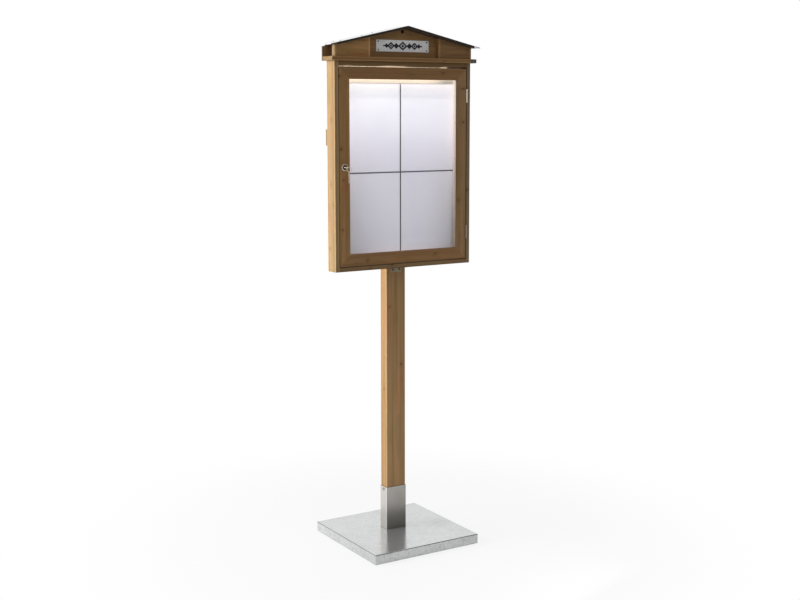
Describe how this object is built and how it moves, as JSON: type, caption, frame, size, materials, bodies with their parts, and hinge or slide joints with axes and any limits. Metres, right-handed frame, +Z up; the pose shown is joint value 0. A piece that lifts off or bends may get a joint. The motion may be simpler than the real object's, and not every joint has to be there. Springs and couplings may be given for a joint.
{
  "type": "lockable notice board",
  "caption": "Free-standing lockable notice case with a lit, glazed and hinged door under a small gabled roof, on a timber post in a steel sleeve on a weighted square base.",
  "frame": {"origin": "on the floor, under the middle of the base", "axes": "+X to the right along the case's front, +Y to the back, +Z up; the door faces -Y"},
  "size_m": [0.562, 0.4, 1.7162],
  "materials": {
    "galvanised_steel": "galvanised, dull spangle",
    "ballast_iron": "raw casting",
    "foot_rubber": "matt black",
    "zinc_plate": "bright zinc",
    "post_wood": "stained softwood, satin oil",
    "case_wood": "stained softwood, satin oil",
    "door_wood": "stained softwood, satin oil",
    "gable_wood": "stained softwood, satin oil",
    "roof_wood": "dark stained boards",
    "plywood": "stained plywood",
    "menu_white": "white board",
    "paper": "plain white sheets",
    "divider_grey": "dark grey magnetic strip",
    "clear_glass": "clear glass",
    "led_aluminium": "mill finish",
    "led_strip": "white board with yellow chips",
    "opal_diffuser": "opal, lit warm white",
    "driver_plastic": "white plastic",
    "black_plastic": "black plastic",
    "lead_sheath": "black sheath",
    "hinge_nickel": "satin nickel",
    "lock_nickel": "polished nickel",
    "sign_metal": "brushed",
    "dark_screws": "black oxide"
  },
  "bodies": {
    "stand": {"base_cover": "galvanised_steel", "base_ballast": "ballast_iron", "base_feet": "foot_rubber", "post_sleeve": "galvanised_steel", "sleeve_screws": "zinc_plate", "post": "post_wood", "support_bracket": "zinc_plate", "bracket_screws": "zinc_plate", "back_batten": "case_wood", "batten_screws": "zinc_plate", "case_side_left": "case_wood", "case_side_right": "case_wood", "case_bottom": "case_wood", "case_top": "case_wood", "case_dowels": "case_wood", "back_panel": "plywood", "case_screws": "zinc_plate", "board_battens": "case_wood", "menu_board": "menu_white", "menu_sheets": "paper", "sheet_dividers": "divider_grey", "door_stops": "case_wood", "led_profile": "led_aluminium", "led_board": "led_strip", "led_diffuser": "opal_diffuser", "led_driver": "driver_plastic", "power_inlet": "black_plastic", "internal_leads": "lead_sheath", "hinge_leaves_case": "hinge_nickel", "hinge_pins": "hinge_nickel", "hinge_screws_case": "hinge_nickel", "strike_plate": "zinc_plate", "ledge_board": "gable_wood", "gable_board_left": "gable_wood", "gable_board_right": "gable_wood", "gable_panel": "gable_wood", "roof_back_board": "plywood", "roof_deck_left": "roof_wood", "roof_deck_right": "roof_wood", "roof_sheet": "galvanised_steel", "roof_screws": "zinc_plate", "sign_plate": "sign_metal", "sign_screws": "dark_screws"},
    "door": {"door_stile_left": "door_wood", "door_stile_right": "door_wood", "door_rail_top": "door_wood", "door_rail_bottom": "door_wood", "door_glass": "clear_glass", "glazing_beads": "door_wood", "hinge_leaves_door": "hinge_nickel", "hinge_screws_door": "hinge_nickel", "lock_body": "lock_nickel", "lock_nut": "lock_nickel"},
    "lock_barrel": {"lock_plug": "lock_nickel", "lock_cam": "lock_nickel", "cam_screw": "zinc_plate"},
    "key_in_lock": {"key": "lock_nickel"},
    "ring": {"key_ring": "lock_nickel"},
    "hanging_key": {"spare_key": "lock_nickel"}
  },
  "joints": [
    {"name": "door_swing", "type": "hinge", "parent": "stand", "child": "door", "pos_m": [0.24325, -0.0582, 1.2695], "axis": [0, 0, 1], "range_deg": [0, 170]},
    {"name": "lock_turn", "type": "hinge", "parent": "door", "child": "lock_barrel", "pos_m": [-0.223, -0.058, 1.2695], "axis": [0, -1, 0], "range_deg": [0, 90]},
    {"name": "key_slide", "type": "slide", "parent": "lock_barrel", "child": "key_in_lock", "axis": [0, -1, 0], "range_m": [0, 0.019]},
    {"name": "ring_swing", "type": "hinge", "parent": "key_in_lock", "child": "ring", "pos_m": [-0.21908, -0.07656, 1.2695], "axis": [0.866, -0.5, 0], "range_deg": [-20, 20]},
    {"name": "spare_key_swing", "type": "hinge", "parent": "ring", "child": "hanging_key", "pos_m": [-0.21908, -0.07656, 1.25628], "axis": [0.866, -0.5, 0], "range_deg": [-35, 35]}
  ]
}
